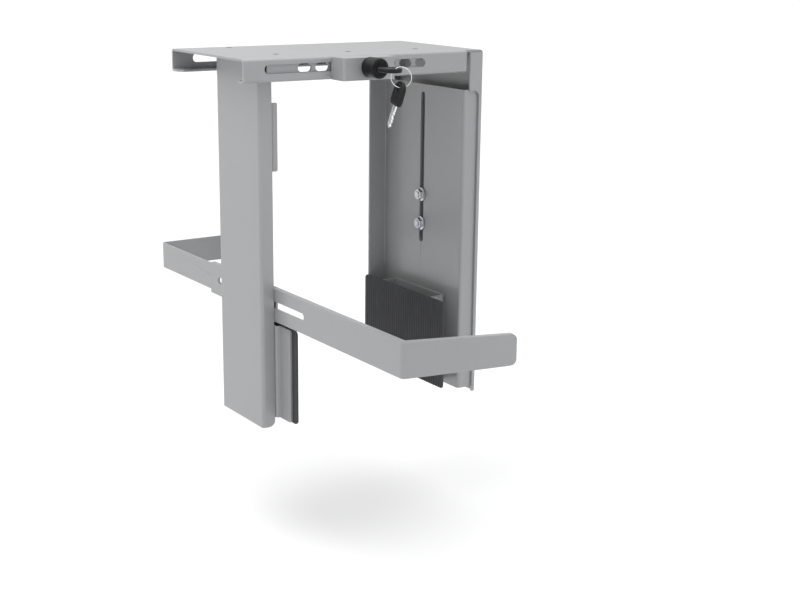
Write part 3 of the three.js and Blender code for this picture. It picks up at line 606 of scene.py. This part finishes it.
def ribbed_facing(node, outwards):
    """A rubber sheet with rounded corners and upright ribs on the side towards the computer."""
    low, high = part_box(node)
    pitch, depth = sizes().rib_pitch, sizes().rib_depth
    corner = FACING_CORNER
    face, back = (high.x, low.x) if outwards > 0 else (low.x, high.x)
    width = high.y - low.y
    steps = round(width / pitch) * RIB_STEPS
    turns = [math.pi / 2.0 * k / CORNER_STEPS for k in range(CORNER_STEPS)]
    round_corner = [corner * (1.0 - math.cos(turn)) for turn in turns]
    stations = round_corner + [corner + (width - 2.0 * corner) * k / steps for k in range(steps + 1)]
    stations += [width - along for along in round_corner[::-1]]
    rings = []
    for along in stations:
        y = low.y + along
        inside = min(along, width - along)
        cut = corner - math.sqrt(max(0.0, corner ** 2 - max(0.0, corner - inside) ** 2))
        z0, z1 = low.z + cut, high.z - cut
        wave = 0.5 + 0.5 * math.cos(2.0 * math.pi * (along - width / 2.0) / pitch)
        groove = depth * (1.0 - min(1.0, wave * 2.2)) * min(1.0, inside / RIB_RUN_OUT)
        x = face - outwards * groove
        edge = min(FACING_EDGE, (z1 - z0) / 4.0)
        section = [
            (back, z0), (x - outwards * edge, z0), (x, z0 + edge),
            (x, z1 - edge), (x - outwards * edge, z1), (back, z1),
        ]
        rings.append([Vector((px, y, pz)) for px, pz in section])
    return skin(rings)


# ------------------------------------------------------------------ lock
TO_Y = Matrix.Rotation(math.radians(90.0), 4, "Z")
PLUG_HOLE_R = 4.3 * MM
SPIGOT_R = 5.5 * MM
BARREL_FOOT = 17.5 * MM
WELD_R = 0.85 * MM
WELD_STEPS, WELD_SIDES = 46, 14


def lock_barrel(node):
    """The barrel that stays still: a stepped face, a grooved foot and the spigot behind it."""
    low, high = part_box(node)
    r = (high.x - low.x) / 2.0
    deep = high.y - low.y
    foot = BARREL_FOOT
    # distance from the barrel's face, radius
    profile = [
        (0.9 * MM, PLUG_HOLE_R), (0.55 * MM, PLUG_HOLE_R + 0.1 * MM), (0.5 * MM, PLUG_HOLE_R + 1.1 * MM),
        (0.1 * MM, PLUG_HOLE_R + 1.5 * MM), (0.0, PLUG_HOLE_R + 1.8 * MM), (0.0, r - 1.5 * MM),
        (0.12 * MM, r - 1.1 * MM), (0.5 * MM, r - 0.45 * MM), (1.1 * MM, r - 0.08 * MM), (1.5 * MM, r),
        (foot - 2.4 * MM, r), (foot - 2.2 * MM, r - 0.35 * MM), (foot - 1.6 * MM, r - 0.35 * MM),
        (foot - 1.4 * MM, r), (foot - 0.3 * MM, r), (foot, r - 0.3 * MM), (foot, SPIGOT_R + 0.1 * MM),
        (foot + 0.2 * MM, SPIGOT_R), (deep - 0.3 * MM, SPIGOT_R), (deep, SPIGOT_R - 0.3 * MM),
        (deep, PLUG_HOLE_R),
    ]
    at = Vector((middle(node).x, low.y, middle(node).z))
    rings = [ring(y, radius, 2 * studio().fineness) for y, radius in profile]
    return moved(skin(rings, closed=True), Matrix.Translation(at) @ TO_Y)


def weld_bead(x, y, low, high):
    """A lumpy run of weld in the corner between the housing and the rail."""
    rings = []
    for k in range(WELD_STEPS + 1):
        share = k / WELD_STEPS
        ripple = 0.12 * math.sin(share * 41.0) + 0.08 * math.sin(share * 17.0 + 1.3)
        taper = math.sqrt(max(0.02, 1.0 - (2.0 * share - 1.0) ** 8))
        r = WELD_R * (1.0 + ripple) * taper
        z = low + (high - low) * share
        rings.append([
            Vector((x + r * math.cos(a), y + r * math.sin(a), z))
            for a in (2.0 * math.pi * i / WELD_SIDES for i in range(WELD_SIDES))
        ])
    return skin(rings)


# ------------------------------------------------------------------ keys
BLADE_OUT = 20.0 * MM
BLADE_BURIED = 2.0 * MM
RING_TURN = math.radians(-38.0)
SPARE_LEAN = math.radians(16.0)
SPARE_TURN = math.radians(120.0)
SPARE_REST = 1.6 * MM  # play between the wire and the hole it hangs in
RING_WALL = 0.7 * MM   # from the middle of the ring's wire to its outside
BOW_CORNER = 4.0 * MM
BOW_RIM = 1.2 * MM
# a bow's ridges fade in inside a plain border
PLAIN_BORDER, BORDER_FADE = 1.6 * MM, 0.8 * MM
# the first key's slot and the spare key's hole, from the centre of the bow's round end
SLOT_OUT, SLOT_HALF = 3.3 * MM, 2.0 * MM
HOLE_OUT, HOLE_R = 3.0 * MM, 2.8 * MM


def stadium(half_length, radius, turn):
    """Distance from a slot's centre to its rim at an angle."""
    def reach(angle):
        a = angle - turn
        c, s = abs(math.cos(a)), abs(math.sin(a))
        flat = radius / s if s > 1e-9 else 1.0
        if flat * c <= half_length:
            return flat
        return half_length * c + math.sqrt(max(0.0, radius ** 2 - (half_length * s) ** 2))

    return reach


def outline_reach(inside, origin, angle, most):
    """How far from the origin the outline lies at an angle, by halving."""
    low, high = 0.0, most
    step = Vector((math.cos(angle), math.sin(angle)))
    for _ in range(40):
        half = (low + high) / 2.0
        if inside(origin + step * half):
            low = half
        else:
            high = half
    return low


def key_bow(long, wide, thick, hole_at, hole_reach):
    """A moulded bow about its hole: rounded rims, and grip ridges on both faces."""
    half = wide / 2.0
    corner = BOW_CORNER
    end = Vector((0.0, -long + half))

    def inside(p):
        if p.y < end.y:
            return (p - end).length <= half
        if p.y > -corner:
            overhang = abs(p.x) - (half - corner)
            if overhang > 0.0:
                return Vector((overhang, p.y + corner)).length <= corner
            return p.y <= 0.0
        return abs(p.x) <= half

    pitch, depth = sizes().ridge_pitch, sizes().ridge_depth
    rounds, steps = 168, 48
    near_rim = [0.0, 0.004, 0.012, 0.025, 0.045]
    across = near_rim + [0.07 + 0.86 * k / steps for k in range(steps + 1)]
    across += [1.0 - t for t in near_rim[::-1]]
    rings = []
    for face in (1, -1):
        stations = across if face > 0 else across[::-1]
        for t in stations:
            points = []
            for i in range(rounds):
                angle = 2.0 * math.pi * i / rounds
                inner = hole_reach(angle)
                outer = outline_reach(inside, hole_at, angle, 2.0 * long)
                d = inner + (outer - inner) * t
                p = hole_at + Vector((math.cos(angle), math.sin(angle))) * d
                to_rim = min(d - inner, outer - d)
                drop = BOW_RIM - math.sqrt(max(0.0, BOW_RIM ** 2 - max(0.0, BOW_RIM - to_rim) ** 2))
                z = thick / 2.0 - drop
                fade = min(1.0, max(0.0, (to_rim - PLAIN_BORDER) / BORDER_FADE))
                band = min(1.0, max(0.0, (p.y - end.y + 1.0 * MM) / (2.0 * MM)))
                wave = 0.5 + 0.5 * math.cos(2.0 * math.pi * p.x / pitch)
                z -= depth * fade * band * (1.0 - min(1.0, 1.3 * wave))
                points.append(Vector((p.x, p.y, face * z)))
            rings.append(points)
    solid = skin(rings, closed=True)
    bmesh.ops.remove_doubles(solid, verts=solid.verts, dist=0.004 * MM)
    return solid


def key_blade(wide, thick):
    """A blade with a slanted tip, cuts along one edge and a groove along each side."""
    half = wide / 2.0
    cuts = [(0.17, 1.5), (0.35, 0.8), (0.52, 1.5), (0.70, 0.8)]  # share from the tip, depth in mm

    def edges(y):
        """Lower and upper edge of the blade at a distance from the bow."""
        low, high = -half, half
        from_tip = BLADE_OUT - y
        if from_tip < half:
            share = 1.0 - from_tip / half
            high = half - (half - 0.6 * MM) * share
            low = -half + max(0.0, (1.5 * MM - from_tip) * 1.4)
        for place, deep in cuts:
            away = abs(from_tip - place * BLADE_OUT) / MM
            low = max(low, -half + MM * max(0.0, min(deep, deep + 0.45 - away * 1.1)))
        return low, high

    def relief(v):
        """Depth of the milled groove at a height across the blade."""
        away = abs(v - 0.16 * wide) / (0.13 * wide)
        return 0.24 * thick * max(0.0, min(1.0, 2.2 - 2.2 * away))

    across = (0.0, 0.03, 0.14, 0.30, 0.42, 0.50, 0.58, 0.66, 0.74, 0.82, 0.90, 0.97, 1.0)
    steps = 110
    rings = []
    for k in range(steps + 1):
        y = -BLADE_BURIED + (BLADE_OUT + BLADE_BURIED) * k / steps
        low, high = edges(y)
        front, back = [], []
        for t in across:
            v = low + (high - low) * t
            soft = 0.15 * MM * max(0.0, 1.0 - min(t, 1.0 - t) / 0.03)
            z = thick / 2.0 - relief(v) - soft
            front.append(Vector((v, y, z)))
            back.append(Vector((v, y, -z)))
        rings.append(front + back[::-1])
    return skin(rings)


def ring_radius():
    """From the ring's centre to the middle of its wire."""
    low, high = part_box("key_ring")
    return (high.z - low.z) / 2.0 - RING_WALL


def split_ring(node, wire):
    """A ring of two turns of wire, lying side by side, that cross over at one place."""
    radius = ring_radius()
    offset = 0.35 * MM
    turns, steps, sides = 2, 220, 12
    cross = math.radians(34.0)
    rings = []
    for k in range(steps + 1):
        a = 2.0 * math.pi * turns * k / steps
        share = min(1.0, max(0.0, (a - 2.0 * math.pi + cross) / cross))
        side = offset * (2.0 * share * share * (3.0 - 2.0 * share) - 1.0)
        thin = wire * (0.55 if k in (0, steps) else 1.0)
        outwards = Vector((math.cos(a), 0.0, math.sin(a)))
        centre = outwards * radius + Vector((0.0, side, 0.0))
        rings.append([
            centre + outwards * (thin * math.cos(b)) + Vector((0.0, thin * math.sin(b), 0.0))
            for b in (2.0 * math.pi * i / sides for i in range(sides))
        ])
    start = math.radians(70.0)
    place = Matrix.Translation(middle(node)) @ Matrix.Rotation(RING_TURN, 4, "Z")
    return moved(skin(rings), place @ Matrix.Rotation(start, 4, "Y"))


def spare_place(bow_end):
    """Hangs the spare key by its hole on the ring's lowest point, leaning and turned."""
    hang = Matrix.Translation(middle("key_ring")) @ Matrix.Rotation(RING_TURN, 4, "Z")
    hang = hang @ Matrix.Translation((0.0, 0.0, -ring_radius() + RING_WALL + SPARE_REST))
    hang = hang @ Matrix.Rotation(SPARE_LEAN, 4, "Y") @ Matrix.Rotation(SPARE_TURN, 4, "Z")
    hang = hang @ Matrix.Translation((0.0, 0.0, bow_end.y - HOLE_OUT - HOLE_R))
    return hang @ Matrix.Rotation(math.radians(-90.0), 4, "X")


# ------------------------------------------------------------------ operators
class HOLDER_OT_sheets(bpy.types.Operator):
    """Round the cut edges of the folded sheets and powder coat them"""

    bl_idname = "holder.sheets"
    bl_label = "Folded sheets"

    def execute(self, context):
        folds = {"front_arm": folded_edge(-1), "rear_arm": folded_edge(1)}
        for node, slot in SLOT_OF.items():
            if slot == "powder_coat":
                sheet = softened(node, sizes().sheet_edge, folds=folds.get(node))
                put(f"{node}_sheet", sheet, node, weighted=True)
        return {"FINISHED"}


class HOLDER_OT_facings(bpy.types.Operator):
    """Make the ribbed rubber facings of the clamp plates"""

    bl_idname = "holder.facings"
    bl_label = "Rubber facings"

    def execute(self, context):
        for node, outwards in (("left_facing", 1), ("right_facing", -1)):
            put(f"{node}_ribbed", ribbed_facing(node, outwards), node, crease=50.0)
        return {"FINISHED"}


class HOLDER_OT_fasteners(bpy.types.Operator):
    """Make the screws, nuts and studs with their threads, sockets and chamfers"""

    bl_idname = "holder.fasteners"
    bl_label = "Fasteners"

    def execute(self, context):
        makers = (("left_guide_stud", guide_stud, 1), ("right_guide_stud", guide_stud, -1),
                  ("left_guide_nut", flange_nut, 1), ("right_guide_nut", flange_nut, -1),
                  ("left_clamp_screw", low_screw, -1), ("right_clamp_screw", low_screw, 1),
                  ("left_clamp_nut", flange_nut, -1), ("right_clamp_nut", flange_nut, 1),
                  ("arm_screw", low_screw, -1), ("arm_nut", flange_nut, -1))
        for start, make, towards in makers:
            nodes = [node for node in SLOT_OF if node.startswith(start)]
            if not nodes:
                raise RuntimeError(f"the frame has no {start}")
            for node in nodes:
                put(f"{node}_turned", make(node, towards), node, crease=28.0)
        return {"FINISHED"}


class HOLDER_OT_lock(bpy.types.Operator):
    """Make the lock's barrel, plug, bolt, clip and the welds of its housing"""

    bl_idname = "holder.lock"
    bl_label = "Lock"

    def execute(self, context):
        put("lock_barrel_turned", lock_barrel("lock_barrel"), "lock_barrel", crease=30.0)
        for node in ("lock_plug", "lock_bolt", "lock_clip"):
            put(f"{node}_soft", softened(node, sizes().small_edge, corner=40.0), node, weighted=True)
        low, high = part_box("lock_housing")
        for name, x in (("left", low.x + 0.1 * MM), ("right", high.x - 0.1 * MM)):
            bead = weld_bead(x, high.y - 0.1 * MM, low.z + 3.0 * MM, high.z - 4.0 * MM)
            put(f"housing_weld_{name}", bead, "lock_housing", crease=80.0, stands_for=False)
        return {"FINISHED"}


class HOLDER_OT_keys(bpy.types.Operator):
    """Make the two keys and the split ring that joins them"""

    bl_idname = "holder.keys"
    bl_label = "Keys"

    def execute(self, context):
        low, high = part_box("key_bow")
        blade_low, blade_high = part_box("key_blade")
        wide, long, thick = high.x - low.x, high.y - low.y, high.z - low.z
        blade_wide, blade_thick = blade_high.x - blade_low.x, blade_high.z - blade_low.z
        bow_end = Vector((0.0, -long + wide / 2.0))
        slot_at = bow_end + Vector((math.cos(RING_TURN), math.sin(RING_TURN))) * SLOT_OUT
        slot = stadium(SLOT_HALF, SLOT_HALF, RING_TURN)
        hole_at = bow_end + Vector((0.0, -HOLE_OUT))
        first = Matrix.Translation(((low.x + high.x) / 2.0, high.y, (low.z + high.z) / 2.0))
        hang = spare_place(bow_end)

        put("key_bow_moulded", moved(key_bow(long, wide, thick, slot_at, slot), first), "key_bow",
            crease=45.0)
        put("key_blade_cut", moved(key_blade(blade_wide, blade_thick), first), "key_blade", crease=30.0)
        put("key_ring_split", split_ring("key_ring", sizes().ring_wire), "key_ring", crease=60.0)
        spare = key_bow(long, wide, thick, hole_at, lambda angle: HOLE_R)
        put("spare_key_bow_moulded", moved(spare, hang), "spare_key_bow", crease=45.0)
        put("spare_key_blade_cut", moved(key_blade(blade_wide, blade_thick), hang), "spare_key_blade",
            crease=30.0)
        return {"FINISHED"}


FLOOR_HALF = 30.0


def light(name, place, size, watts, tint=(1.0, 1.0, 1.0)):
    """A soft box that looks at the middle of the holder."""
    lamp = bpy.data.lights.new(name, "AREA")
    lamp.shape = "RECTANGLE"
    lamp.size, lamp.size_y = size
    lamp.energy = watts
    lamp.color = tint
    holder = bpy.data.objects.new(name, lamp)
    bpy.context.scene.collection.objects.link(holder)
    centre = (cad_low + cad_high) / 2.0
    holder.location = Vector(place)
    holder.visible_camera = False
    holder.rotation_euler = (centre - Vector(place)).to_track_quat("-Z", "Y").to_euler()


class HOLDER_OT_stage(bpy.types.Operator):
    """Set up the camera, the soft light and the pale floor"""

    bl_idname = "holder.stage"
    bl_label = "Studio"

    def execute(self, context):
        scene, setup = context.scene, studio()
        scene.view_settings.view_transform = "Standard"

        camera = bpy.data.objects.new("camera", bpy.data.cameras.new("camera"))
        scene.collection.objects.link(camera)
        camera.data.sensor_width = 36.0
        camera.data.lens = setup.lens
        camera.data.clip_start, camera.data.clip_end = 0.01, 100.0
        camera.location = setup.eye
        level = Matrix.Rotation(-setup.bearing, 4, "Z") @ Matrix.Rotation(math.pi / 2.0 - setup.tilt, 4, "X")
        camera.rotation_euler = (level @ Matrix.Rotation(setup.roll, 4, "Z")).to_euler()
        scene.camera = camera

        scene.world = bpy.data.worlds.new("soft_overhead_light")
        world = Nodes(scene.world)
        up = world.node("ShaderNodeSeparateXYZ", None,
                        {"Vector": world.node("ShaderNodeTexCoord", out="Generated")}, out="Z")
        glow = setup.horizon + setup.overhead * up.limited() ** 4.0
        background = world.node("ShaderNodeBackground", None, {"Strength": glow})
        output = world.tree.nodes.new("ShaderNodeOutputWorld")
        world.tree.links.new(background.socket, output.inputs["Surface"])

        light("plate_light", place=(-0.40, 0.05, 0.40), size=(0.4, 0.4), watts=1.6)
        light("front_light", place=(0.5, -2.0, 0.5), size=(1.2, 1.2), watts=4.0, tint=(0.80, 0.86, 1.0))

        floor_mesh = bmesh.new()
        bmesh.ops.create_grid(floor_mesh, x_segments=8, y_segments=8, size=FLOOR_HALF)
        mesh = bpy.data.meshes.new("floor")
        floor_mesh.to_mesh(mesh)
        floor_mesh.free()
        floor = bpy.data.objects.new("floor", mesh)
        floor.location.z = cad_low.z - setup.floor_drop
        scene.collection.objects.link(floor)
        finish = Finish("pale_floor")
        grain = finish.noise(60.0, 3.0)
        tone = tuple(colours().floor)
        finish.done(base_color=finish.mix(grain, shade(tone, 0.995), shade(tone, 1.005)), roughness=0.85)
        mesh.materials.append(finish.material)
        return {"FINISHED"}


OPERATORS = (
    HOLDER_OT_stage, HOLDER_OT_sheets, HOLDER_OT_facings, HOLDER_OT_fasteners, HOLDER_OT_lock,
    HOLDER_OT_keys,
)


class HOLDER_PT_panel(bpy.types.Panel):
    """The holder's operators and settings"""

    bl_idname = "HOLDER_PT_panel"
    bl_label = "Computer holder"
    bl_space_type = "VIEW_3D"
    bl_region_type = "UI"
    bl_category = "Holder"

    def draw(self, context):
        for operator in OPERATORS:
            self.layout.operator(operator.bl_idname)
        for group in (context.scene.holder_sizes, context.scene.holder_colours,
                      context.scene.holder_studio):
            box = self.layout.box()
            for name in group.__annotations__:
                box.prop(group, name)


CLASSES = (HolderSizes, HolderColours, HolderStudio) + OPERATORS + (HOLDER_PT_panel,)


def register():
    for cls in CLASSES:
        bpy.utils.register_class(cls)
    bpy.types.Scene.holder_sizes = PointerProperty(type=HolderSizes)
    bpy.types.Scene.holder_colours = PointerProperty(type=HolderColours)
    bpy.types.Scene.holder_studio = PointerProperty(type=HolderStudio)


def unregister():
    del bpy.types.Scene.holder_studio
    del bpy.types.Scene.holder_colours
    del bpy.types.Scene.holder_sizes
    for cls in reversed(CLASSES):
        bpy.utils.unregister_class(cls)


def main():
    """Makes every piece."""
    register()
    bpy.ops.holder.stage()
    bpy.ops.holder.sheets()
    bpy.ops.holder.facings()
    bpy.ops.holder.fasteners()
    bpy.ops.holder.lock()
    bpy.ops.holder.keys()


if __name__ == "__main__":
    main()
